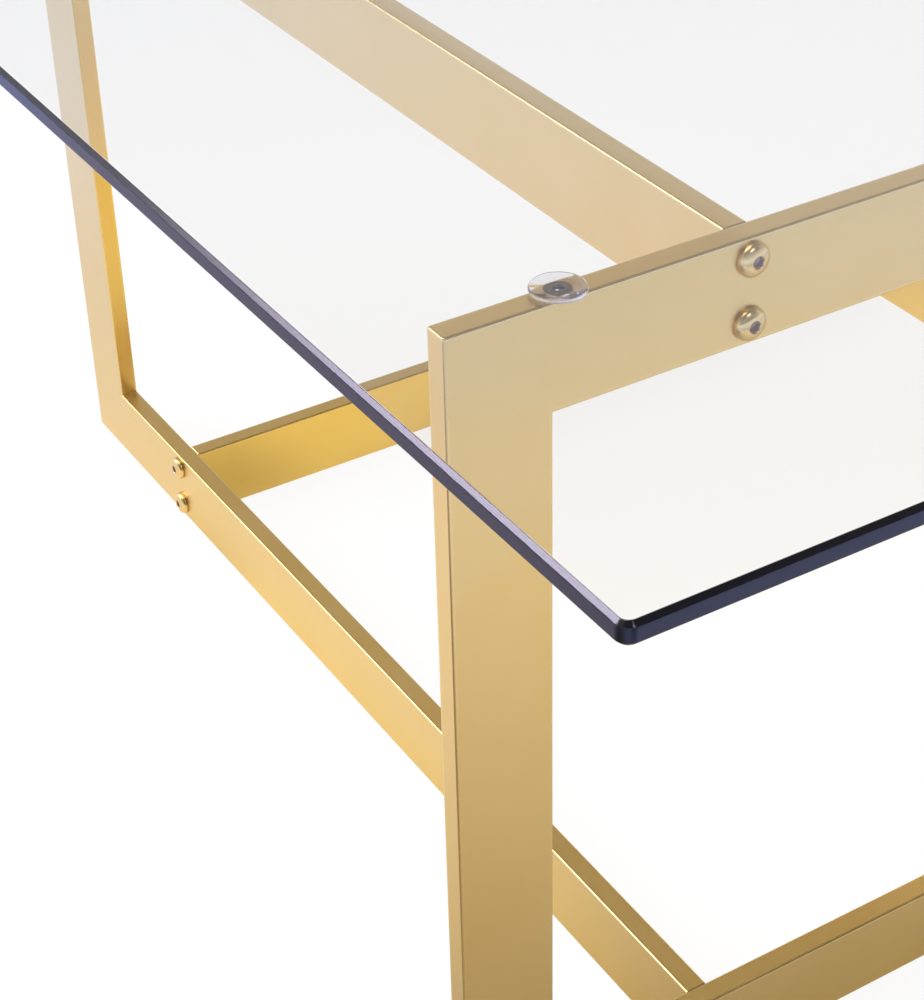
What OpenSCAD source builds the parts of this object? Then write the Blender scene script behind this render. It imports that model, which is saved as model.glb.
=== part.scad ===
// Square glass-top coffee table on a pinwheel base.
// Four equal C-shaped frames of flat tube are bolted together, each butting against the next one's
// inner face. The glass lies loose on four clear bumpers. The origin is on the floor under the centre.

/* [Table] */
// Height from the floor to the upper face of the glass
table_h = 400; // [300:5:480]
// Side of the square glass top
top_side = 805; // [740:5:1000]

/* [Glass] */
// Thickness of the glass
glass_t = 8; // [6:1:12]
// Radius of the glass corners, seen from above
glass_corner_r = 4.5; // [3:0.5:30]
// Width of the ground bevel on every glass edge
glass_bevel = 1.5; // [0.5:0.25:2.5]

/* [Frames] */
// Width of the square core between the outer faces of opposite frames
core_w = 500; // [440:10:560]
// Distance from a frame's outer face to the tip of the neighbouring leg that stands past it
arm = 112.5; // [60:0.5:120]
// Width of the tube, seen as the tall face of a rail
bar_w = 40; // [36:1:60]
// Thickness of the tube
bar_t = 10; // [10:0.5:16]
// Wall thickness of the tube
wall = 1.2; // [1:0.1:1.5]
// Radius of the tube's long edges
edge_r = 1; // [0.8:0.1:1.2]

/* [Bolts] */
// Distance between the two bolts of a joint
bolt_pitch = 24; // [20:1:24]
// Diameter of the bolt shank
bolt_d = 5.9; // [4.9:0.1:5.9]
// Length of the bolt under its head
bolt_len = 30; // [24:1:38]
// Diameter of the bolt head
head_d = 12.6; // [12:0.2:15]
// Height of the bolt head
head_h = 3.8; // [3.5:0.1:5]
// Rounding radius of the head's rim
head_round_r = 2.3; // [2:0.1:3.2]
// Width across the flats of the hex socket
socket_w = 4; // [3:0.5:5]
// Depth of the hex socket
socket_depth = 2.6; // [2:0.1:3]

/* [Bumpers] */
// Diameter of the clear disc under the glass
bumper_d = 19; // [14:1:24]
// Thickness of the clear disc
bumper_h = 2.5; // [1.5:0.5:4]
// Diameter of the stem in the rail
stem_d = 6; // [4:0.5:6]
// Length of the stem below the disc
stem_len = 6; // [4:1:12]
// Distance from the tip of the leg to the bumper's centre
bumper_inset = 45; // [30:1:100]

/* [Hidden] */
$fn = 64;
// Amount by which cutting shapes run past the faces they cut
over = 1;
SIDES = ["front", "right", "back", "left"];
LEVELS = ["top", "bottom"];

frame_h = table_h - glass_t - bumper_h;
face_at = core_w / 2;
leg_tip = face_at + arm;
butt_at = face_at - bar_t;
rail_len = leg_tip + butt_at;
// Middle of the thickness of the neighbouring tube, which is where its bolts go in
bolt_at = face_at - bar_t / 2;

cavity_w = bar_w - 2 * wall;
cavity_t = bar_t - 2 * wall;
plug_len = 30;
thread_d = 6;
bolt_hole_d = 6.6;
bolt_tip_bevel = 0.8;
socket_corner_d = socket_w / cos(30);
stem_hole_d = stem_d + 0.4;
bumper_bevel = 0.3;

// Rectangle with round corners, made of true arcs
module round_rect(size, r) {
    square([size.x - 2 * r, size.y], center = true);
    square([size.x, size.y - 2 * r], center = true);
    for (x = [-1, 1], y = [-1, 1])
        translate([x * (size.x / 2 - r), y * (size.y / 2 - r)])
            circle(r);
}

// Straight tube from the origin along +X, with its tall faces looking along Y
module tube(length) {
    rotate([90, 0, 90])
        linear_extrude(length)
            difference() {
                round_rect([bar_t, bar_w], edge_r);
                square([cavity_t, cavity_w], center = true);
            }
}

// Waste beyond a 45 degree mitre whose outer corner is at the start of a tube's upper edge
module mitre_waste() {
    translate([0, 0, bar_w / 2])
        rotate([0, 45, 0])
            translate([-bar_w, -bar_w, -bar_w])
                cube([3 * bar_w, 2 * bar_w, bar_w]);
}

// Tube with its start mitred, and its far end too if both is true
module mitred_tube(length, both = false) {
    difference() {
        tube(length);
        mitre_waste();
        if (both)
            translate([length, 0, 0])
                mirror([1, 0, 0])
                    mitre_waste();
    }
}

// Puts a child that is drawn about a rail's axis at the height of the top or the bottom rail.
// The bottom rail is the top one turned upside down.
module at_level(level) {
    if (level == "top")
        translate([0, 0, frame_h - bar_w / 2])
            children();
    else
        translate([0, 0, bar_w / 2])
            mirror([0, 0, 1])
                children();
}

// Puts a child at the middle of the front frame's thickness
module in_front_frame() {
    translate([0, bar_t / 2 - face_at, 0])
        children();
}

// The two holes that the neighbouring frame's bolts pass through
module bolt_holes() {
    for (z = [-1, 1])
        translate([-bolt_at, 0, z * bolt_pitch / 2])
            rotate([90, 0, 0])
                cylinder(d = bolt_hole_d, h = bar_t + 2 * over, center = true);
}

module rail() {
    difference() {
        translate([-leg_tip, 0, 0])
            mitred_tube(rail_len);
        bolt_holes();
    }
}

module top_rail() {
    color("#d9bd83")
        in_front_frame()
            at_level("top")
                difference() {
                    rail();
                    translate([bumper_inset - leg_tip, 0, bar_w / 2 - wall - over])
                        cylinder(d = stem_hole_d, h = wall + 2 * over);
                }
}

module bottom_rail() {
    color("#d3b06c")
        in_front_frame()
            at_level("bottom")
                rail();
}

module leg() {
    color("#dfc58d")
        in_front_frame()
            translate([bar_w / 2 - leg_tip, 0, 0])
                rotate([0, -90, 0])
                    mitred_tube(frame_h, both = true);
}

// Threaded block that fills the open end of a rail
module plug(level) {
    color("#8f8f8c")
        in_front_frame()
            at_level(level)
                difference() {
                    translate([butt_at - plug_len, -cavity_t / 2, -cavity_w / 2])
                        cube([plug_len, cavity_t, cavity_w]);
                    for (z = [-1, 1])
                        translate([butt_at - plug_len - over, 0, z * bolt_pitch / 2])
                            rotate([0, 90, 0])
                                cylinder(d = thread_d, h = plug_len + 2 * over);
                }
}

// Half outline of the bolt, from its tip up to the flat of its head
module bolt_outline() {
    head_r = head_d / 2;
    difference() {
        union() {
            translate([0, -bolt_len])
                square([bolt_d / 2, bolt_len]);
            square([head_r, head_h - head_round_r]);
            square([head_r - head_round_r, head_h]);
            intersection() {
                translate([head_r - head_round_r, head_h - head_round_r])
                    circle(head_round_r);
                square([head_r, head_h]);
            }
        }
        translate([bolt_d / 2, -bolt_len])
            rotate(45)
                square(sqrt(2) * bolt_tip_bevel, center = true);
    }
}

// Bolt through the front frame into the left frame's rail; place is 1 for the upper one, -1 for the lower
module bolt(level, place) {
    rail_z = level == "top" ? frame_h - bar_w / 2 : bar_w / 2;
    color("#c9a45c")
        translate([-bolt_at, -face_at, rail_z + place * bolt_pitch / 2])
            rotate([90, 0, 0])
                difference() {
                    rotate_extrude()
                        bolt_outline();
                    translate([0, 0, head_h - socket_depth])
                        cylinder(d = socket_corner_d, h = socket_depth + over, $fn = 6);
                }
}

// Clear disc with a stem that drops into the hole in the top rail
module bumper() {
    color("#dfe6ea", 0.6)
        translate([bumper_inset - leg_tip, bar_t / 2 - face_at, frame_h])
            rotate_extrude() {
                polygon([
                    [0, 0],
                    [bumper_d / 2 - bumper_bevel, 0],
                    [bumper_d / 2, bumper_bevel],
                    [bumper_d / 2, bumper_h - bumper_bevel],
                    [bumper_d / 2 - bumper_bevel, bumper_h],
                    [0, bumper_h]
                ]);
                translate([0, -stem_len])
                    square([stem_d / 2, stem_len]);
            }
}

// Bevelled slab section, half_w wide to the right of the origin and the glass's thickness high
module glass_outline(half_w) {
    polygon([
        [0, 0],
        [half_w - glass_bevel, 0],
        [half_w, glass_bevel],
        [half_w, glass_t - glass_bevel],
        [half_w - glass_bevel, glass_t],
        [0, glass_t]
    ]);
}

// Half of the slab without its corners: the bevelled edge along +Y and the glass behind it
module glass_half() {
    run = top_side - 2 * glass_corner_r;
    translate([-run / 2, 0, 0])
        rotate([90, 0, 90])
            linear_extrude(run)
                glass_outline(top_side / 2);
}

module glass_top() {
    corner_at = top_side / 2 - glass_corner_r;
    color("#cfe0e4", 0.4)
        translate([0, 0, frame_h + bumper_h]) {
            for (turn = [0 : 90 : 270])
                rotate(turn)
                    glass_half();
            for (x = [-1, 1], y = [-1, 1])
                translate([x * corner_at, y * corner_at, 0])
                    rotate_extrude()
                        glass_outline(glass_corner_r);
        }
}

glass_top();
for (i = [0 : 3])
    rotate(90 * i) {
        top_rail();
        leg();
        bottom_rail();
        bumper();
        for (level = LEVELS) {
            plug(level);
            bolt(level, 1);
            bolt(level, -1);
        }
    }
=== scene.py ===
"""Looks of the square glass-top coffee table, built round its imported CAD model. Metres, Z up.

The visible pieces are four C-shaped brass frames, their sixteen bolts, four clear bumpers and the glass.
The steel plugs in the rail ends stay CAD nodes and only get a material.
"""
import math
import random

import bmesh
import bpy
from mathutils import Matrix, Vector


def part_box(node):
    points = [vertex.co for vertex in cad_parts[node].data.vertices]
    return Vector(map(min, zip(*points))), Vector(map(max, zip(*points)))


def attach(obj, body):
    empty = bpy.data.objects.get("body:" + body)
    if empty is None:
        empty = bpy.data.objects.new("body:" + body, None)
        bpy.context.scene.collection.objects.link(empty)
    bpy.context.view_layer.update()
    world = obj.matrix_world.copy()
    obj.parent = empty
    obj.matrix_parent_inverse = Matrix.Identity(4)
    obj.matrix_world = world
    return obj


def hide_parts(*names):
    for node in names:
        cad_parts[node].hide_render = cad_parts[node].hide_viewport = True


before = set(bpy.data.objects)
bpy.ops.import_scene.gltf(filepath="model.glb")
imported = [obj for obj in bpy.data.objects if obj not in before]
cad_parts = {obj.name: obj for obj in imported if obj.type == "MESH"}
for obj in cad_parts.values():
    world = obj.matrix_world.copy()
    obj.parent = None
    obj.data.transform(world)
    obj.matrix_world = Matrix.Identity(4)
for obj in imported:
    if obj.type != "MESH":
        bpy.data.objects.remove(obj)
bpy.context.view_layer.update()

SIDES = ("front", "right", "back", "left")
LEVELS = ("top", "bottom")
PLACES = ("upper", "lower")
RNG = random.Random(20)
MM = 0.001
JOIN_DISTANCE = 1e-7

# Tube
WALL = 1.2 * MM
TUBE_ROUND = 0.9 * MM
CAVITY_ROUND = 0.2 * MM
ROUND_STEPS = 5
SUPPORT = 0.8 * MM
OUTER_BEND = 0.8 * MM
INNER_BEND = 0.5 * MM
BEND_STEPS = 4
END_CHAMFER = 0.3 * MM
BOLT_HOLE_R = 3.3 * MM
STEM_HOLE_R = 3.2 * MM
HOLE_STEPS = 40
# How far an edge counts as worn, in radii of its rounding
WEAR_REACH = 1.02

# Bolt
HEAD_R = 6.3 * MM
HEAD_H = 3.8 * MM
DOME_FOOT = 0.8 * MM
DOME_REACH = 4.9 * MM
DOME_STEPS = 16
SHANK_R = 2.95 * MM
THREAD_ROOT_R = 2.5 * MM
THREAD_PITCH = 1.0 * MM
# Shares of the pitch at which a thread's crest starts and ends
THREAD_CREST = (0.4, 0.55)
THREAD_RELIEF = 0.6 * MM
SHANK_LEN = 30.0 * MM
TIP_CHAMFER = 0.4 * MM
SEAT_CHAMFER = 0.3 * MM
HEAD_WEAR = 1.5 * MM
SOCKET_FLATS = 4.0 * MM
SOCKET_RIM_R = 2.5 * MM
SOCKET_RIM_DROP = 0.05 * MM
SOCKET_LEAD_IN = 0.35 * MM
SOCKET_DEPTH = 2.5 * MM
SOCKET_CONE = 0.15 * MM
SOCKET_CONE_SHARE = 0.8
# How far inside the socket rim the painted shade of the socket reaches
SOCKET_SHADE_INSET = 0.1 * MM
LATHE_STEPS = 48

# Bumper
STEM_R = 2.5 * MM
STEM_ROOT_R = 1.9 * MM
STEM_LEN = 6.0 * MM
STEM_TIP_CHAMFER = 0.5 * MM
RIBS = 3
RIB_PITCH = 1.7 * MM
# Radius and height above its foot of each further row of a rib
RIB_ROWS = ((STEM_R, 1.0 * MM), (STEM_R, 1.2 * MM), (STEM_ROOT_R, 1.5 * MM))
DISC_ROUND = 0.5 * MM
RIM_ARC = 80
RIM_STEPS = 6
RIM_WEAR = 1.5 * DISC_ROUND
TOP_GAP = 0.06 * MM
CROWN = 0.25 * MM
CROWN_SHARES = (0.85, 0.7, 0.5, 0.3, 0.15)
FOOT_R = 4.7 * MM
FOOT_CHAMFER = 0.3 * MM
RIM_LIFT = 0.75 * MM
LIFT_SHARES = (0, 0.25, 0.5, 0.75)
LIFT_POWER = 1.2

# Glass
GLASS_BEVEL = 1.5 * MM
GLASS_CORNER_R = 4.5 * MM
ARRIS_ROUND = 0.25 * MM
ARRIS_SHARES = (0, 0.33, 0.67, 1)
CORNER_STEPS = 10
# How near a point lies to the upper or the lower face to count as part of it
FACE_TOLERANCE = 1e-5


# ---------------------------------------------------------------- mesh helpers

def make_object(name, mesh):
    made = bpy.data.objects.new(name, mesh)
    bpy.context.scene.collection.objects.link(made)
    return made


def mesh_from(name, verts, faces):
    """Closed mesh with its normals outward and its coinciding points joined."""
    build = bmesh.new()
    points = [build.verts.new(v) for v in verts]
    for face in faces:
        build.faces.new([points[i] for i in face])
    bmesh.ops.remove_doubles(build, verts=build.verts, dist=JOIN_DISTANCE)
    bmesh.ops.recalc_face_normals(build, faces=build.faces)
    mesh = bpy.data.meshes.new(name)
    build.to_mesh(mesh)
    build.free()
    return mesh


def apply_modifiers(piece):
    """Keeps the evaluated mesh and drops the modifiers."""
    graph = bpy.context.evaluated_depsgraph_get()
    done = bpy.data.meshes.new_from_object(piece.evaluated_get(graph))
    done.name = piece.data.name
    piece.modifiers.clear()
    piece.data = done


def shade(piece, sharp_angle):
    """Smooth shading with sharp edges past the angle, and flat faces kept flat beside round edges."""
    for polygon in piece.data.polygons:
        polygon.use_smooth = True
    piece.data.set_sharp_from_angle(angle=math.radians(sharp_angle))
    weighted = piece.modifiers.new("weighted", "WEIGHTED_NORMAL")
    weighted.keep_sharp = True
    weighted.weight = 100
    apply_modifiers(piece)


def arc(centre, radius, start, end, steps):
    """Points (x, y) on an arc, angles in degrees."""
    points = []
    for i in range(steps + 1):
        angle = math.radians(start + (end - start) * i / steps)
        points.append((centre[0] + radius * math.cos(angle), centre[1] + radius * math.sin(angle)))
    return points


def join_rings(rings, closed=False):
    """Faces between consecutive rings of equal length, whose vertices follow each other."""
    count = len(rings[0])
    faces = []
    last = len(rings) if closed else len(rings) - 1
    for r in range(last):
        a = r * count
        b = (r + 1) % len(rings) * count
        for i in range(count):
            j = (i + 1) % count
            faces.append((a + i, a + j, b + j, b + i))
    return faces


def turn(side):
    """Rotation that carries the front frame to that side."""
    return Matrix.Rotation(math.radians(90 * SIDES.index(side)), 4, "Z")


# ---------------------------------------------------------------- frames

TOP_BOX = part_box("front_top_rail")
LEG_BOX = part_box("front_leg")
LOW_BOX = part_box("front_bottom_rail")
TIP = TOP_BOX[0].x
BUTT = TOP_BOX[1].x
TOP = TOP_BOX[1].z
BASE = LOW_BOX[0].z
BAR_W = LEG_BOX[1].x - LEG_BOX[0].x
BAR_T = LEG_BOX[1].y - LEG_BOX[0].y
FACE_Y = LEG_BOX[0].y
MID_Y = FACE_Y + BAR_T / 2

# The middle line of the C, from the butt end of the top rail to that of the bottom rail
MIDDLE = (
    Vector((BUTT, TOP - BAR_W / 2)),
    Vector((TIP + BAR_W / 2, TOP - BAR_W / 2)),
    Vector((TIP + BAR_W / 2, BASE + BAR_W / 2)),
    Vector((BUTT, BASE + BAR_W / 2)),
)
ALONG = (Vector((-1, 0)), Vector((0, -1)), Vector((1, 0)))
OUTWARD = (Vector((0, 1)), Vector((-1, 0)), Vector((0, -1)))


def tube_section(half_w, half_t, radius):
    """Points (in plane, through the thickness) of a rounded rectangle. A support point stands on either
    side of each round edge, so that the flats shade flat."""
    points = []
    for k, (sw, st) in enumerate(((1, 1), (-1, 1), (-1, -1), (1, -1))):
        centre = (sw * (half_w - radius), st * (half_t - radius))
        beside_w = (sw * half_w, st * (half_t - radius - SUPPORT))
        beside_t = (sw * (half_w - radius - SUPPORT), st * half_t)
        before, after = (beside_w, beside_t) if k % 2 == 0 else (beside_t, beside_w)
        points.append(before)
        points.extend(arc(centre, radius, 90 * k, 90 * k + 90, ROUND_STEPS))
        points.append(after)
    return points


def bend_radius(offset):
    """Radius of a corner of the C at that distance outward from the middle line."""
    return INNER_BEND + (OUTER_BEND - INNER_BEND) * (offset + BAR_W / 2) / BAR_W


def straight_station(segment, point):
    return lambda offset: point + OUTWARD[segment] * offset


def mitre_station(corner, before):
    """Line beside a corner's rounding, parallel to its mitre."""
    both = OUTWARD[corner] + OUTWARD[corner + 1]
    back = -ALONG[corner] if before else ALONG[corner + 1]
    return lambda offset: MIDDLE[corner + 1] + both * offset + back * (bend_radius(offset) + SUPPORT)


def bend_station(corner, angle):
    """Line across a corner's rounding, at an angle from 0 to 90 degrees."""
    first = OUTWARD[corner]
    second = OUTWARD[corner + 1]
    lean = first * math.cos(math.radians(angle)) + second * math.sin(math.radians(angle))

    def place(offset):
        radius = bend_radius(offset)
        return MIDDLE[corner + 1] + (first + second) * (offset - radius) + lean * radius

    return place


def stations(start_gap, end_gap):
    """Lines across the C from one butt end to the other, which stop short of the ends by the gaps."""
    lines = [straight_station(0, MIDDLE[0] + ALONG[0] * start_gap)]
    for corner in (0, 1):
        lines.append(mitre_station(corner, True))
        for i in range(BEND_STEPS + 1):
            lines.append(bend_station(corner, 90 * i / BEND_STEPS))
        lines.append(mitre_station(corner, False))
    lines.append(straight_station(2, MIDDLE[3] - ALONG[2] * end_gap))
    return lines


def ring_at(line, section):
    points = []
    for offset, depth in section:
        flat = line(offset)
        points.append(Vector((flat.x, MID_Y + depth, flat.y)))
    return points


def tube_mesh():
    """The front frame: one hollow C of flat tube with rounded edges and open, slightly chamfered ends."""
    outer = tube_section(BAR_W / 2, BAR_T / 2, TUBE_ROUND)
    tight = tube_section(BAR_W / 2 - END_CHAMFER, BAR_T / 2 - END_CHAMFER, TUBE_ROUND - END_CHAMFER)
    inner = tube_section(BAR_W / 2 - WALL, BAR_T / 2 - WALL, CAVITY_ROUND)
    rings = [ring_at(stations(0, 0)[0], tight)]
    rings.extend(ring_at(line, outer) for line in stations(END_CHAMFER, END_CHAMFER))
    rings.append(ring_at(stations(0, 0)[-1], tight))
    rings.extend(ring_at(line, inner) for line in reversed(stations(0, 0)))
    verts = [point for ring in rings for point in ring]
    return mesh_from("frame", verts, join_rings(rings, closed=True))


def add_hole(build, place, radius, length):
    """Adds one many-sided cutting post, centred on the place matrix's origin along its Z."""
    bmesh.ops.create_cone(
        build,
        cap_ends=True,
        segments=HOLE_STEPS,
        radius1=radius,
        radius2=radius,
        depth=length,
        matrix=place,
    )


def cutter_mesh():
    """Posts for the four bolt holes and the bumper's stem hole."""
    build = bmesh.new()
    for level in LEVELS:
        for position in PLACES:
            low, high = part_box(f"front_{level}_bolt_{position}")
            centre = Vector(((low.x + high.x) / 2, MID_Y, (low.z + high.z) / 2))
            place = Matrix.Translation(centre) @ Matrix.Rotation(math.pi / 2, 4, "X")
            add_hole(build, place, BOLT_HOLE_R, 2 * BAR_T)
    low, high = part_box("front_bumper")
    centre = Vector(((low.x + high.x) / 2, MID_Y, TOP))
    add_hole(build, Matrix.Translation(centre), STEM_HOLE_R, 4 * WALL)
    mesh = bpy.data.meshes.new("cutter")
    build.to_mesh(mesh)
    build.free()
    return mesh


def cut_holes(piece):
    cutter = make_object("cutter", cutter_mesh())
    cut = piece.modifiers.new("holes", "BOOLEAN")
    cut.operation = "DIFFERENCE"
    cut.solver = "EXACT"
    cut.object = cutter
    apply_modifiers(piece)
    bpy.data.objects.remove(cutter)


def in_leg(point):
    """True where the front frame's tube stands upright, which ends at the mitres."""
    return point.x - TIP < min(TOP - point.z, point.z - BASE)


def edge_share(point):
    """1 on the rounded edges and corners of the front frame, 0 on its flats."""
    outer = sorted((point.x - TIP, TOP - point.z, point.z - BASE))
    inner = max(TIP + BAR_W - point.x, point.z - (TOP - BAR_W), BASE + BAR_W - point.z)
    depth = BAR_T / 2 - abs(point.y - MID_Y)
    near = TUBE_ROUND * WEAR_REACH
    on_long_edge = min(outer[0], inner) < near and depth < near
    on_corner = outer[1] < OUTER_BEND * WEAR_REACH
    return 1.0 if on_long_edge or on_corner else 0.0


def mark_tube(mesh, shift):
    """Stores where the edges are and which way the brushing runs, with its own shift for each frame."""
    edges = mesh.attributes.new("edge", "FLOAT", "POINT")
    edges.data.foreach_set("value", [edge_share(v.co) for v in mesh.vertices])
    grain = mesh.attributes.new("grain", "FLOAT_VECTOR", "CORNER")
    for polygon in mesh.polygons:
        upright = in_leg(polygon.center)
        for i in polygon.loop_indices:
            p = mesh.vertices[mesh.loops[i].vertex_index].co
            along, across = (p.z, p.x) if upright else (p.x, p.z)
            grain.data[i].vector = Vector((along + shift, across, p.y))


def build_frame(side, material):
    piece = make_object(f"frame_{side}", tube_mesh())
    cut_holes(piece)
    mark_tube(piece.data, RNG.uniform(0, 5))
    piece.data.transform(turn(side))
    shade(piece, sharp_angle=35)
    piece.data.materials.clear()
    piece.data.materials.append(material)
    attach(piece, "base")
    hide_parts(f"{side}_top_rail", f"{side}_leg", f"{side}_bottom_rail")


# ---------------------------------------------------------------- turned pieces

def hex_radius(angle, flats):
    """Distance from the axis to a hexagon's side in that direction."""
    sixth = math.pi / 3
    return flats / 2 / math.cos((angle + sixth / 2) % sixth - sixth / 2)


def lathe_mesh(name, outline):
    """Closed turned body about Z. Each outline row is (radius, height, False), or (width across flats,
    height, True) where the body is hexagonal. The first and the last row are on the axis."""
    rings = []
    for size, height, hexagonal in outline[1:-1]:
        ring = []
        for i in range(LATHE_STEPS):
            angle = 2 * math.pi * i / LATHE_STEPS
            reach = hex_radius(angle, size) if hexagonal else size
            ring.append(Vector((reach * math.cos(angle), reach * math.sin(angle), height)))
        rings.append(ring)
    verts = [point for ring in rings for point in ring]
    faces = join_rings(rings)
    first = len(verts)
    verts.append(Vector((0, 0, outline[0][1])))
    verts.append(Vector((0, 0, outline[-1][1])))
    last_ring = (len(rings) - 1) * LATHE_STEPS
    for i in range(LATHE_STEPS):
        j = (i + 1) % LATHE_STEPS
        faces.append((j, i, first))
        faces.append((last_ring + i, last_ring + j, first + 1))
    return mesh_from(name, verts, faces)


def mark_turned(mesh, edge_height, edge_radius, recess_radius=0.0):
    """Stores the local place, and above edge_height also where the rim is worn (past edge_radius) and
    where the socket gets painted shade (within recess_radius)."""
    grain = mesh.attributes.new("grain", "FLOAT_VECTOR", "POINT")
    edges = mesh.attributes.new("edge", "FLOAT", "POINT")
    recess = mesh.attributes.new("recess", "FLOAT", "POINT")
    for i, vertex in enumerate(mesh.vertices):
        radius = vertex.co.xy.length
        grain.data[i].vector = vertex.co
        edges.data[i].value = 1.0 if vertex.co.z > edge_height and radius > edge_radius else 0.0
        recess.data[i].value = 1.0 if vertex.co.z > edge_height and radius < recess_radius else 0.0


def bolt_outline():
    """From the tip of the shank to the floor of the hex socket."""
    rows = [(0, -SHANK_LEN, False), (THREAD_ROOT_R - TIP_CHAMFER, -SHANK_LEN, False)]
    height = -SHANK_LEN + THREAD_PITCH / 2
    while height < -THREAD_PITCH:
        rows.append((THREAD_ROOT_R, height, False))
        rows.extend((SHANK_R, height + share * THREAD_PITCH, False) for share in THREAD_CREST)
        height += THREAD_PITCH
    rows.append((THREAD_ROOT_R, -THREAD_RELIEF, False))
    rows.append((THREAD_ROOT_R, 0, False))
    rows.append((HEAD_R - SEAT_CHAMFER, 0, False))
    rows.append((HEAD_R, SEAT_CHAMFER, False))
    for reach, rise in arc((0, 0), 1, 0, 90, DOME_STEPS):
        radius = HEAD_R - DOME_REACH + DOME_REACH * reach
        if radius > SOCKET_RIM_R:
            rows.append((radius, DOME_FOOT + (HEAD_H - DOME_FOOT) * rise, False))
    rows.append((SOCKET_RIM_R, HEAD_H - SOCKET_RIM_DROP, False))
    rows.append((SOCKET_FLATS, HEAD_H - SOCKET_LEAD_IN, True))
    rows.append((SOCKET_FLATS, HEAD_H - SOCKET_DEPTH, True))
    rows.append((SOCKET_FLATS * SOCKET_CONE_SHARE, HEAD_H - SOCKET_DEPTH - SOCKET_CONE, True))
    rows.append((0, HEAD_H - SOCKET_DEPTH - 2 * SOCKET_CONE, False))
    return rows


def build_bolt(side, level, position, material):
    """A turned bolt, clocked at random about its axis as hand-tightened bolts are."""
    node = f"{side}_{level}_bolt_{position}"
    low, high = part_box(f"front_{level}_bolt_{position}")
    piece = make_object(f"bolt_{side}_{level}_{position}", lathe_mesh("bolt", bolt_outline()))
    mark_turned(piece.data, DOME_FOOT, HEAD_R - HEAD_WEAR, SOCKET_RIM_R - SOCKET_SHADE_INSET)
    seat = Matrix.Translation(Vector(((low.x + high.x) / 2, FACE_Y, (low.z + high.z) / 2)))
    clocked = Matrix.Rotation(RNG.uniform(0, math.pi / 3), 4, "Z")
    piece.data.transform(turn(side) @ seat @ Matrix.Rotation(math.pi / 2, 4, "X") @ clocked)
    shade(piece, sharp_angle=40)
    piece.data.materials.append(material)
    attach(piece, "base")
    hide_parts(node)


def bumper_outline(radius, height):
    """From the tip of the ribbed stem to the middle of the top, which clears the glass by a hair."""
    rows = [(0, -STEM_LEN, False), (STEM_ROOT_R - STEM_TIP_CHAMFER, -STEM_LEN, False)]
    for rib in range(RIBS):
        foot = -STEM_LEN + STEM_TIP_CHAMFER + rib * RIB_PITCH
        rows.append((STEM_ROOT_R, foot, False))
        rows.extend((reach, foot + rise, False) for reach, rise in RIB_ROWS)
    rows.append((STEM_ROOT_R, 0, False))
    rows.append((FOOT_R - FOOT_CHAMFER, 0, False))
    rim_r = radius - DISC_ROUND
    for share in LIFT_SHARES:
        rows.append((FOOT_R + (rim_r - FOOT_R) * share, RIM_LIFT * share ** LIFT_POWER, False))
    top = height - TOP_GAP
    under = arc((rim_r, RIM_LIFT + DISC_ROUND), DISC_ROUND, -RIM_ARC, 0, RIM_STEPS)
    over = arc((rim_r, top - CROWN - DISC_ROUND), DISC_ROUND, 0, RIM_ARC, RIM_STEPS)
    rows.extend((r, h, False) for r, h in under + over)
    for share in CROWN_SHARES:
        rows.append((radius * share, top - CROWN * share ** 2, False))
    rows.append((0, top, False))
    return rows


def build_bumper(side, material):
    node = f"{side}_bumper"
    low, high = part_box("front_bumper")
    radius = (high.x - low.x) / 2
    height = high.z - TOP
    piece = make_object(f"bumper_{side}", lathe_mesh("bumper", bumper_outline(radius, height)))
    mark_turned(piece.data, DISC_ROUND, radius - RIM_WEAR)
    seat = Matrix.Translation(Vector(((low.x + high.x) / 2, (low.y + high.y) / 2, TOP)))
    piece.data.transform(turn(side) @ seat)
    shade(piece, sharp_angle=50)
    piece.data.materials.append(material)
    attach(piece, "base")
    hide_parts(node)


# ---------------------------------------------------------------- glass

def rounded_square(half, radius, height):
    """Points of a square with round corners, seen from above."""
    points = []
    for k, (sx, sy) in enumerate(((1, 1), (-1, 1), (-1, -1), (1, -1))):
        centre = (sx * (half - radius), sy * (half - radius))
        corner = arc(centre, radius, 90 * k, 90 * k + 90, CORNER_STEPS)
        points.extend(Vector((x, y, height)) for x, y in corner)
    return points


def glass_edge(thickness):
    """Rows (inset, height) up the edge: bevel, upright band, bevel, with softened arrises between them."""
    corners = (
        (3 * GLASS_BEVEL, 0),
        (GLASS_BEVEL, 0),
        (0, GLASS_BEVEL),
        (0, thickness - GLASS_BEVEL),
        (GLASS_BEVEL, thickness),
        (3 * GLASS_BEVEL, thickness),
    )
    rows = []
    for i in range(1, len(corners) - 1):
        here = Vector(corners[i])
        before = (Vector(corners[i - 1]) - here).normalized() * ARRIS_ROUND
        after = (Vector(corners[i + 1]) - here).normalized() * ARRIS_ROUND
        for t in ARRIS_SHARES:
            rows.append(here + before * (1 - t) ** 2 + after * t ** 2)
    return rows


def glass_mesh(low, high):
    half = (high.x - low.x) / 2
    rings = []
    for inset, height in glass_edge(high.z - low.z):
        rings.append(rounded_square(half - inset, GLASS_CORNER_R - inset, low.z + height))
    verts = [point for ring in rings for point in ring]
    faces = join_rings(rings)
    count = len(rings[0])
    faces.append(tuple(reversed(range(count))))
    faces.append(tuple(range(len(verts) - count, len(verts))))
    return mesh_from("glass", verts, faces)


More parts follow.
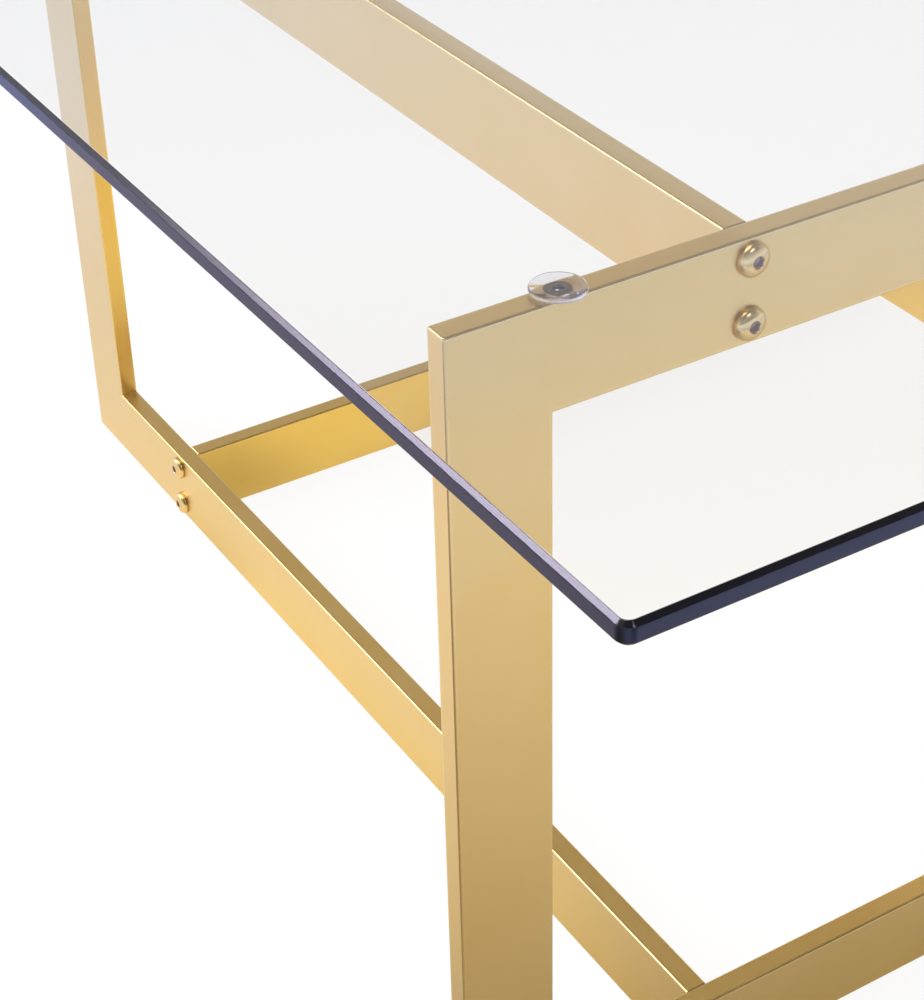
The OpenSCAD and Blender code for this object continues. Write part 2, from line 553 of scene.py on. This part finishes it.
def mark_glass(mesh, low, high):
    """Stores where the glass is ground (bevels and upright band) and where it is the polished upper
    bevel."""
    ground = mesh.attributes.new("edge", "FLOAT", "POINT")
    bevel = mesh.attributes.new("bevel", "FLOAT", "POINT")
    for i, vertex in enumerate(mesh.vertices):
        height = vertex.co.z
        flat = height < low.z + FACE_TOLERANCE or height > high.z - FACE_TOLERANCE
        ground.data[i].value = 0.0 if flat else 1.0
        upper = height > high.z - GLASS_BEVEL + ARRIS_ROUND / 2
        bevel.data[i].value = 1.0 if upper and not flat else 0.0


def build_glass(material):
    low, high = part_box("glass_top")
    piece = make_object("glass_slab", glass_mesh(low, high))
    mark_glass(piece.data, low, high)
    shade(piece, sharp_angle=60)
    piece.data.materials.append(material)
    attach(piece, "glass")
    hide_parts("glass_top")


# ---------------------------------------------------------------- material helpers

def blank_material(name):
    material = bpy.data.materials.new(name)
    material.use_nodes = True
    material.node_tree.nodes.clear()
    return material, material.node_tree


def output_of(tree, shader):
    out = tree.nodes.new("ShaderNodeOutputMaterial")
    tree.links.new(shader, out.inputs["Surface"])
    return out


def attribute(tree, name, output):
    made = tree.nodes.new("ShaderNodeAttribute")
    made.attribute_name = name
    return made.outputs[output]


def object_place(tree):
    return tree.nodes.new("ShaderNodeTexCoord").outputs["Object"]


def stretched(tree, vector, scale):
    made = tree.nodes.new("ShaderNodeMapping")
    made.inputs["Scale"].default_value = scale
    tree.links.new(vector, made.inputs["Vector"])
    return made.outputs["Vector"]


def split(tree, vector):
    """A vector's X, Y and Z."""
    made = tree.nodes.new("ShaderNodeSeparateXYZ")
    tree.links.new(vector, made.inputs["Vector"])
    return [made.outputs[axis] for axis in "XYZ"]


def joined(tree, x, y):
    """Vector made of two values, with a Z of 0."""
    made = tree.nodes.new("ShaderNodeCombineXYZ")
    tree.links.new(x, made.inputs["X"])
    tree.links.new(y, made.inputs["Y"])
    return made.outputs["Vector"]


def length_of(tree, vector):
    made = tree.nodes.new("ShaderNodeVectorMath")
    made.operation = "LENGTH"
    tree.links.new(vector, made.inputs[0])
    return made.outputs["Value"]


def noise(tree, vector, scale, detail):
    made = tree.nodes.new("ShaderNodeTexNoise")
    made.inputs["Scale"].default_value = scale
    made.inputs["Detail"].default_value = detail
    tree.links.new(vector, made.inputs["Vector"])
    return made.outputs["Fac"]


def ranged(tree, value, low, high, out_low, out_high, smooth=False):
    """Maps a value from one range to another, clamped, and with soft ends where smooth is true."""
    made = tree.nodes.new("ShaderNodeMapRange")
    if smooth:
        made.interpolation_type = "SMOOTHSTEP"
    for name, number in (("From Min", low), ("From Max", high), ("To Min", out_low), ("To Max", out_high)):
        made.inputs[name].default_value = number
    tree.links.new(value, made.inputs["Value"])
    return made.outputs["Result"]


def mixed(tree, share, first, second):
    """Colour between two colours, each a tuple or a socket."""
    made = tree.nodes.new("ShaderNodeMix")
    made.data_type = "RGBA"
    tree.links.new(share, made.inputs["Factor"])
    for socket, colour in ((made.inputs[6], first), (made.inputs[7], second)):
        if isinstance(colour, tuple):
            socket.default_value = (*colour, 1)
        else:
            tree.links.new(colour, socket)
    return made.outputs[2]


def multiplied(tree, first, second):
    """Product of two colour sockets."""
    made = tree.nodes.new("ShaderNodeMix")
    made.data_type = "RGBA"
    made.blend_type = "MULTIPLY"
    made.inputs["Factor"].default_value = 1.0
    tree.links.new(first, made.inputs[6])
    tree.links.new(second, made.inputs[7])
    return made.outputs[2]


def combined(tree, operation, first, second):
    """Math node on two values, each a number or a socket."""
    made = tree.nodes.new("ShaderNodeMath")
    made.operation = operation
    for socket, value in zip(made.inputs, (first, second)):
        if isinstance(value, (int, float)):
            socket.default_value = value
        else:
            tree.links.new(value, socket)
    return made.outputs[0]


def bumped(tree, height, strength, distance):
    made = tree.nodes.new("ShaderNodeBump")
    made.inputs["Strength"].default_value = strength
    made.inputs["Distance"].default_value = distance
    tree.links.new(height, made.inputs["Height"])
    return made.outputs["Normal"]


def principled(tree, colour, roughness, normal=None, **constants):
    """Principled shader. Colour and roughness may be sockets; constants go straight on the shader."""
    made = tree.nodes.new("ShaderNodeBsdfPrincipled")
    for name, value in (("Base Color", colour), ("Roughness", roughness), ("Normal", normal)):
        if isinstance(value, tuple):
            made.inputs[name].default_value = (*value, 1)
        elif isinstance(value, float):
            made.inputs[name].default_value = value
        elif value is not None:
            tree.links.new(value, made.inputs[name])
    for name, value in constants.items():
        made.inputs[name.replace("_", " ").title().replace("Ior", "IOR")].default_value = value
    return made.outputs["BSDF"]


def clear_to_light(tree, shader, tint):
    """Lets light through a clear body, a little tinted, so that what is under it stays lit."""
    path = tree.nodes.new("ShaderNodeLightPath")
    thin = tree.nodes.new("ShaderNodeBsdfTransparent")
    thin.inputs["Color"].default_value = (*tint, 1)
    mix = tree.nodes.new("ShaderNodeMixShader")
    tree.links.new(path.outputs["Is Shadow Ray"], mix.inputs[0])
    tree.links.new(shader, mix.inputs[1])
    tree.links.new(thin.outputs["BSDF"], mix.inputs[2])
    return mix.outputs["Shader"]


def emission(tree, colour, strength):
    made = tree.nodes.new("ShaderNodeEmission")
    made.inputs["Strength"].default_value = strength
    if isinstance(colour, tuple):
        made.inputs["Color"].default_value = (*colour, 1)
    else:
        tree.links.new(colour, made.inputs["Color"])
    return made.outputs["Emission"]


def blended(tree, share, first, second):
    """Mix of two shaders. The share is a number or a socket."""
    made = tree.nodes.new("ShaderNodeMixShader")
    if isinstance(share, (int, float)):
        made.inputs[0].default_value = share
    else:
        tree.links.new(share, made.inputs[0])
    tree.links.new(first, made.inputs[1])
    tree.links.new(second, made.inputs[2])
    return made.outputs["Shader"]


# ---------------------------------------------------------------- materials

WHITE = (1, 1, 1)

# The floor and the world as the camera sees them: how bright, and how much of the floor glows
SWEEP_LEVEL = 1.06
SWEEP_SHARE = 0.85
SWEEP_DARK = (0.80, 0.80, 0.80)
SWEEP_PALE = (0.84, 0.84, 0.84)
# Painted light and shade on the floor, as the table mirrors it: how bright, and how much of it glows
PAINTED_LIGHT_LEVEL = 1.75
PAINTED_LIGHT_GLOW_SHARE = 0.6
# That painted light in square rings about the table, warm under it and cool far out: where each starts to
# show, where it covers, and its colour
PAINTED_LIGHT_MIDDLE = (0.95, 0.74, 0.22)
PAINTED_LIGHT_RINGS = (
    (0.10, 0.19, (0.80, 0.72, 0.40)),
    (0.23, 0.27, (0.77, 0.73, 0.65)),
    (0.55, 0.90, (0.74, 0.86, 1.30)),
)
# Painted shadows, and a few tints of painted light, on that floor light: centre, size and what is left of
# each colour
FLOOR_PAINTED_SHADOWS = (
    ((0, -0.28, 0), (50, 0.20, 1), (0.72, 0.72, 0.72)),
    ((-0.75, -0.42, 0), (0.40, 0.25, 1), (0.32, 0.24, 0.13)),
    ((-0.75, 1.35, 0), (0.45, 0.45, 1), (0.75, 0.75, 0.75)),
    ((0, -0.25, 0), (50, 0.07, 1), (0.75, 0.74, 0.75)),
    ((-0.06, 0.30, 0), (0.11, 0.04, 1), (0.50, 0.46, 0.40)),
    ((-0.21, 0.21, 0), (0.035, 0.035, 1), (0.65, 0.63, 0.6)),
    ((0, -1.0, 0), (50, 0.09, 1), (0.1, 0.12, 0.14)),
    ((-0.42, 0.52, 0), (0.14, 0.24, 1), (0.84, 0.94, 1.35)),
    ((-0.82, 0.20, 0), (0.14, 0.50, 1), (0.85, 0.70, 0.62)),
)

BRASS = (0.785, 0.58, 0.255)
BRASS_DEEP = (0.76, 0.55, 0.22)
BRASS_WORN = (0.84, 0.65, 0.33)

BOLT_DEEP = (0.72, 0.50, 0.19)
BOLT_BRASS = (0.80, 0.60, 0.27)
BOLT_WORN = (0.88, 0.68, 0.33)
# Painted shade in the hex socket: a darker, greyer tone
BOLT_SOCKET_SHADE = (0.62, 0.50, 0.46)

STEEL_STAINED = (0.42, 0.41, 0.39)
STEEL = (0.60, 0.59, 0.57)

PLASTIC_IOR = 1.38
PLASTIC = (0.98, 0.975, 0.99)
PLASTIC_CLOUD = (0.95, 0.945, 0.97)
# Painted shade: a lilac-grey tone on the underside and stem, below UNDERSIDE_TOP
PLASTIC_UNDERSIDE_SHADE = (0.96, 0.95, 0.985)
UNDERSIDE_TOP = 0.7 * MM
PLASTIC_HAZE = ((0.56, 0.52, 0.76), (0.64, 0.60, 0.82))
HAZE_SHARE = 0.05
PLASTIC_SHADOW = (0.86, 0.86, 0.90)

GLASS_IOR = 1.52
# Painted reflection: a lilac tint on the ground edges and bevels
EDGE_PAINTED_REFLECTION_TINT = (0.76, 0.72, 0.88)
# Matt grinding of the edges, coloured blue-grey as a painted reflection
GLASS_GROUND_AND_REFLECTION = ((0.24, 0.34, 0.55), (0.30, 0.40, 0.62))
GROUND_SHARE = 0.015
BEVEL_POLISH = (1.0, 0.95, 1.0)
POLISH_ROUGHNESS = 0.12
POLISH_SHARE = 0.035
GLASS_SHADOW = (0.93, 0.94, 0.94)
GLASS_DEPTH_TINT = (0.56, 0.54, 0.44)
GLASS_DEPTH_DENSITY = 5.0


def tube_material():
    """Satin brass finish: hair-fine brushing along the tube, very soft cloudiness, brighter edges."""
    material, tree = blank_material("satin_brass")
    grain = attribute(tree, "grain", "Vector")
    edge = attribute(tree, "edge", "Fac")
    hairs = noise(tree, stretched(tree, grain, (60, 4000, 4000)), scale=1.0, detail=2.0)
    clouds = noise(tree, grain, scale=26, detail=3.0)
    body = mixed(tree, ranged(tree, clouds, 0.25, 0.75, 0, 1), BRASS_DEEP, BRASS)
    colour = mixed(tree, ranged(tree, edge, 0, 1, 0, 0.3), body, BRASS_WORN)
    cloudy = ranged(tree, clouds, 0.25, 0.75, 0.315, 0.355)
    fine = ranged(tree, hairs, 0.3, 0.7, -0.01, 0.01)
    roughness = combined(tree, "ADD", cloudy, fine)
    roughness = combined(tree, "MULTIPLY", roughness, ranged(tree, edge, 0, 1, 1, 0.8))
    normal = bumped(tree, hairs, strength=0.02, distance=0.03 * MM)
    output_of(tree, principled(tree, colour, roughness, normal, metallic=1.0))
    return material


def bolt_material():
    """Turned brass: fine rings about the axis, a few specks, a paler rim, and a dull socket with painted
    shade in it.
    """
    material, tree = blank_material("turned_brass")
    grain = attribute(tree, "grain", "Vector")
    edge = attribute(tree, "edge", "Fac")
    socket_shade = attribute(tree, "recess", "Fac")
    x, y, z = split(tree, grain)
    rings = joined(tree, length_of(tree, joined(tree, x, y)), z)
    turned = noise(tree, rings, scale=2600, detail=2.0)
    specks = noise(tree, grain, scale=700, detail=3.0)
    colour = mixed(tree, ranged(tree, specks, 0.35, 0.65, 0, 1), BOLT_DEEP, BOLT_BRASS)
    colour = mixed(tree, ranged(tree, edge, 0, 1, 0, 0.4), colour, BOLT_WORN)
    # Painted shade in the socket
    colour = mixed(tree, socket_shade, colour, BOLT_SOCKET_SHADE)
    roughness = ranged(tree, turned, 0.3, 0.7, 0.20, 0.27)
    roughness = combined(tree, "ADD", roughness, ranged(tree, socket_shade, 0, 1, 0, 0.25))
    normal = bumped(tree, turned, strength=0.06, distance=0.04 * MM)
    output_of(tree, principled(tree, colour, roughness, normal, metallic=1.0))
    return material


def steel_material():
    """Plain drawn steel for the plugs in the rail ends."""
    material, tree = blank_material("plain_steel")
    place = object_place(tree)
    drawn = noise(tree, stretched(tree, place, (900, 900, 60)), scale=1.0, detail=2.0)
    stains = noise(tree, place, scale=90, detail=4.0)
    colour = mixed(tree, stains, STEEL_STAINED, STEEL)
    roughness = ranged(tree, drawn, 0.3, 0.7, 0.3, 0.48)
    normal = bumped(tree, drawn, strength=0.2, distance=0.05 * MM)
    output_of(tree, principled(tree, colour, roughness, normal, metallic=1.0))
    return material


def bumper_material():
    """Clear soft plastic, slightly cloudy with a lilac cast, a painted shade tint on its underside, and a
    faintly uneven skin.
    """
    material, tree = blank_material("clear_plastic")
    grain = attribute(tree, "grain", "Vector")
    cloudy = noise(tree, grain, scale=420, detail=3.0)
    skin = noise(tree, grain, scale=1500, detail=2.0)
    _, _, height = split(tree, grain)
    colour = mixed(tree, cloudy, PLASTIC_CLOUD, PLASTIC)
    # Painted shade on the underside and stem
    colour = mixed(tree, ranged(tree, height, 0, UNDERSIDE_TOP, 1, 0), colour, PLASTIC_UNDERSIDE_SHADE)
    roughness = ranged(tree, skin, 0.3, 0.7, 0.02, 0.07)
    normal = bumped(tree, skin, strength=0.05, distance=0.05 * MM)
    clear = principled(tree, colour, roughness, normal, ior=PLASTIC_IOR, transmission_weight=1.0)
    haze = tree.nodes.new("ShaderNodeBsdfTranslucent")
    tree.links.new(mixed(tree, cloudy, *PLASTIC_HAZE), haze.inputs["Color"])
    body = blended(tree, HAZE_SHARE, clear, haze.outputs["BSDF"])
    output_of(tree, clear_to_light(tree, body, PLASTIC_SHADOW))
    return material


def glass_material():
    """Clear float glass: faint smudges and ripple on the faces, ground edges whose blue-grey is a painted
    reflection, a lilac painted reflection tint on the edges, a glossier upper bevel, and a tint that grows
    with depth."""
    material, tree = blank_material("float_glass")
    place = object_place(tree)
    edge = attribute(tree, "edge", "Fac")
    smudges = noise(tree, place, scale=14, detail=4.0)
    ripple = noise(tree, place, scale=3.0, detail=1.0)
    faces = ranged(tree, smudges, 0.45, 0.8, 0.0, 0.012)
    roughness = combined(tree, "ADD", faces, ranged(tree, edge, 0, 1, 0, 0.03))
    ripple = combined(tree, "MULTIPLY", ripple, ranged(tree, edge, 0, 1, 1, 0))
    glass = tree.nodes.new("ShaderNodeBsdfGlass")
    glass.inputs["IOR"].default_value = GLASS_IOR
    # Painted lilac reflection tint on the edges
    tree.links.new(mixed(tree, edge, WHITE, EDGE_PAINTED_REFLECTION_TINT), glass.inputs["Color"])
    tree.links.new(roughness, glass.inputs["Roughness"])
    tree.links.new(bumped(tree, ripple, strength=0.01, distance=0.2 * MM), glass.inputs["Normal"])
    ground = tree.nodes.new("ShaderNodeBsdfDiffuse")
    # Blue-grey of the ground edges is a painted reflection
    tree.links.new(mixed(tree, smudges, *GLASS_GROUND_AND_REFLECTION), ground.inputs["Color"])
    polish = tree.nodes.new("ShaderNodeBsdfAnisotropic")
    polish.inputs["Color"].default_value = (*BEVEL_POLISH, 1)
    polish.inputs["Roughness"].default_value = POLISH_ROUGHNESS
    matt = ranged(tree, edge, 0, 1, 0, GROUND_SHARE)
    body = blended(tree, matt, glass.outputs["BSDF"], ground.outputs["BSDF"])
    shine = ranged(tree, attribute(tree, "bevel", "Fac"), 0, 1, 0, POLISH_SHARE)
    body = blended(tree, shine, body, polish.outputs["BSDF"])
    out = output_of(tree, clear_to_light(tree, body, GLASS_SHADOW))
    depth = tree.nodes.new("ShaderNodeVolumeAbsorption")
    depth.inputs["Color"].default_value = (*GLASS_DEPTH_TINT, 1)
    depth.inputs["Density"].default_value = GLASS_DEPTH_DENSITY
    tree.links.new(depth.outputs["Volume"], out.inputs["Volume"])
    return material


def patch(tree, vector, centre, size):
    """Soft round patch about a point: 1 in its middle, 0 from twice the size outward."""
    made = tree.nodes.new("ShaderNodeMapping")
    made.vector_type = "TEXTURE"
    made.inputs["Location"].default_value = centre
    made.inputs["Scale"].default_value = size
    tree.links.new(vector, made.inputs["Vector"])
    reach = length_of(tree, made.outputs["Vector"])
    return ranged(tree, reach, 0, 2, 1, 0, smooth=True)


def seen_directly(tree):
    """1 for what the camera sees, plainly or through the glass, and 0 in reflections and as light."""
    path = tree.nodes.new("ShaderNodeLightPath")
    straight = combined(tree, "MAXIMUM", path.outputs["Is Camera Ray"], path.outputs["Is Transmission Ray"])
    bounces = combined(tree, "ADD", path.outputs["Glossy Depth"], path.outputs["Diffuse Depth"])
    return combined(tree, "MULTIPLY", straight, combined(tree, "LESS_THAN", bounces, 0.5))


def painted_floor_light(tree, place):
    """Painted light and shade on the floor that the brass mirrors: warm under the table, cool far out, with
    painted shadows on it.
    """
    x, y, _ = split(tree, place)
    out = combined(tree, "MAXIMUM", combined(tree, "ABSOLUTE", x, 0), combined(tree, "ABSOLUTE", y, 0))
    painted_light = PAINTED_LIGHT_MIDDLE
    for start, full, colour in PAINTED_LIGHT_RINGS:
        painted_light = mixed(tree, ranged(tree, out, start, full, 0, 1), painted_light, colour)
    # Painted shadows and tints of painted light on the floor
    for centre, size, left in FLOOR_PAINTED_SHADOWS:
        painted_shadow_there = mixed(tree, patch(tree, place, centre, size), WHITE, left)
        painted_light = multiplied(tree, painted_light, painted_shadow_there)
    return painted_light


def floor_material():
    """Plain pale floor. Seen directly it is an evenly lit white sweep with faint shadows. The table
    mirrors painted light and shade instead, partly glowing as a lit sweep does and partly lit by the
    studio."""
    material, tree = blank_material("pale_floor")
    place = object_place(tree)
    mottle = noise(tree, place, scale=2.5, detail=4.0)
    grit = noise(tree, place, scale=160, detail=2.0)
    white = mixed(tree, mottle, SWEEP_DARK, SWEEP_PALE)
    roughness = ranged(tree, grit, 0.3, 0.7, 0.75, 0.9)
    normal = bumped(tree, grit, strength=0.02, distance=0.2 * MM)
    plain = principled(tree, white, roughness, normal)
    seen = blended(tree, SWEEP_SHARE, plain, emission(tree, WHITE, SWEEP_LEVEL))
    painted_light = painted_floor_light(tree, place)
    # The painted light and shade glow, as the table mirrors them
    painted_light_glow = emission(tree, painted_light, PAINTED_LIGHT_LEVEL)
    mirrored = blended(tree, PAINTED_LIGHT_GLOW_SHARE, principled(tree, painted_light, roughness, normal), painted_light_glow)
    output_of(tree, blended(tree, seen_directly(tree), mirrored, seen))
    return material


# ---------------------------------------------------------------- stage

FLOOR_R = 40.0
FLOOR_DROP = 0.2 * MM
FLOOR_RINGS = (0.6, 1.5, 4, 12, FLOOR_R)
FLOOR_STEPS = 64


def build_floor():
    verts = [Vector((0, 0, -FLOOR_DROP))]
    faces = []
    for r, radius in enumerate(FLOOR_RINGS):
        for i in range(FLOOR_STEPS):
            angle = 2 * math.pi * i / FLOOR_STEPS
            verts.append(Vector((radius * math.cos(angle), radius * math.sin(angle), -FLOOR_DROP)))
            j = (i + 1) % FLOOR_STEPS
            here = 1 + r * FLOOR_STEPS
            if r == 0:
                faces.append((0, here + i, here + j))
            else:
                inside = here - FLOOR_STEPS
                faces.append((inside + i, here + i, here + j, inside + j))
    mesh = bpy.data.meshes.new("floor")
    mesh.from_pydata(verts, [], faces)
    floor = make_object("floor", mesh)
    mesh.materials.append(floor_material())


def ramp(tree, value, stops):
    """Colour ramp through (place, red, green, blue) stops."""
    made = tree.nodes.new("ShaderNodeValToRGB")
    tree.links.new(value, made.inputs["Fac"])
    while len(made.color_ramp.elements) < len(stops):
        made.color_ramp.elements.new(0.5)
    for element, (place, red, green, blue) in zip(made.color_ramp.elements, stops):
        element.position = place
        element.color = (red, green, blue, 1)
    return made.outputs["Color"]


# The studio by height, from level with the table to straight above it: height, red, green, blue
SKY = (
    (0.0, 1.0, 1.0, 1.0),
    (0.08, 0.9, 0.9, 0.9),
    (0.25, 0.62, 0.62, 0.62),
    (0.45, 0.60, 0.62, 0.66),
    (0.52, 0.47, 0.46, 0.44),
    (0.60, 0.62, 0.47, 0.25),
    (0.70, 0.27, 0.21, 0.08),
    (1.0, 0.22, 0.23, 0.26),
)
# What hangs in the studio: direction from the table, full and fading half angles in degrees, colour
HANGINGS = (
    ((-0.10, -0.85, 0.50), 36, 66, (0.13, 0.12, 0.12)),
    ((-0.72, 0.60, 0.35), 18, 32, (1.05, 1.05, 1.05)),
    ((-0.60, 0.62, 0.50), 6, 19, (7.5, 7.2, 8.0)),
    ((0.06, -0.77, 0.63), 4, 12, (4.0, 4.0, 4.0)),
    ((-0.30, 0.15, 0.94), 15, 30, (2.6, 2.6, 2.6)),
)


def facing(tree, direction, towards, full, fading):
    """1 within the full angle of a direction, 0 past the fading angle, smooth between."""
    dot = tree.nodes.new("ShaderNodeVectorMath")
    dot.operation = "DOT_PRODUCT"
    tree.links.new(direction, dot.inputs[0])
    dot.inputs[1].default_value = Vector(towards).normalized()
    outer = math.cos(math.radians(fading))
    inner = math.cos(math.radians(full))
    return ranged(tree, dot.outputs["Value"], outer, inner, 0, 1, smooth=True)


def build_world():
    """A white studio: bright soft boxes and a dark photographer's side. Seen directly it is plain white."""
    world = bpy.data.worlds.new("studio")
    world.use_nodes = True
    bpy.context.scene.world = world
    tree = world.node_tree
    tree.nodes.clear()
    direction = tree.nodes.new("ShaderNodeTexCoord").outputs["Generated"]
    _, _, height = split(tree, direction)
    level = ramp(tree, height, SKY)
    for towards, full, fading, colour in HANGINGS:
        level = mixed(tree, facing(tree, direction, towards, full, fading), level, colour)
    studio = tree.nodes.new("ShaderNodeBackground")
    tree.links.new(level, studio.inputs["Color"])
    plain = tree.nodes.new("ShaderNodeBackground")
    plain.inputs["Color"].default_value = (*WHITE, 1)
    plain.inputs["Strength"].default_value = SWEEP_LEVEL
    out = tree.nodes.new("ShaderNodeOutputWorld")
    shown = blended(tree, seen_directly(tree), studio.outputs["Background"], plain.outputs["Background"])
    tree.links.new(shown, out.inputs["Surface"])


# ---------------------------------------------------------------- camera

CAMERA_AT = (-0.65945, -0.76012, 0.74001)
CAMERA_AZIMUTH = 30.637
CAMERA_DOWN = 34.43
CAMERA_ROLL = -1.591
# Focal length in pixels of the photograph, whose longer side is its height
FOCAL_PIXELS = 2260.78
LONG_SIDE_PIXELS = 1000
SENSOR_MM = 36.0
CLIP_NEAR = 0.01
CLIP_FAR = 200


def build_camera():
    data = bpy.data.cameras.new("camera")
    data.sensor_width = SENSOR_MM
    data.lens = FOCAL_PIXELS / LONG_SIDE_PIXELS * SENSOR_MM
    data.clip_start = CLIP_NEAR
    data.clip_end = CLIP_FAR
    azimuth = math.radians(CAMERA_AZIMUTH)
    down = math.radians(CAMERA_DOWN)
    roll = math.radians(CAMERA_ROLL)
    ahead = Vector((
        math.sin(azimuth) * math.cos(down),
        math.cos(azimuth) * math.cos(down),
        -math.sin(down),
    ))
    right = ahead.cross(Vector((0, 0, 1))).normalized()
    up = right.cross(ahead)
    rolled_right = right * math.cos(roll) + up * math.sin(roll)
    rolled_up = up * math.cos(roll) - right * math.sin(roll)
    camera = make_object("camera", data)
    axes = Matrix((rolled_right, rolled_up, -ahead)).transposed()
    camera.matrix_world = Matrix.Translation(CAMERA_AT) @ axes.to_4x4()
    bpy.context.scene.camera = camera


# ---------------------------------------------------------------- making

def dress_plugs(material):
    for side in SIDES:
        for level in LEVELS:
            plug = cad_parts[f"{side}_{level}_plug"]
            plug.data.materials.clear()
            plug.data.materials.append(material)


def build_table():
    tube = tube_material()
    turned = bolt_material()
    clear = bumper_material()
    for side in SIDES:
        build_frame(side, tube)
        build_bumper(side, clear)
        for level in LEVELS:
            for position in PLACES:
                build_bolt(side, level, position, turned)
    build_glass(glass_material())
    dress_plugs(steel_material())


build_camera()
build_table()
build_floor()
build_world()
bpy.context.scene.view_settings.view_transform = "Standard"
bpy.context.scene.view_settings.look = "None"
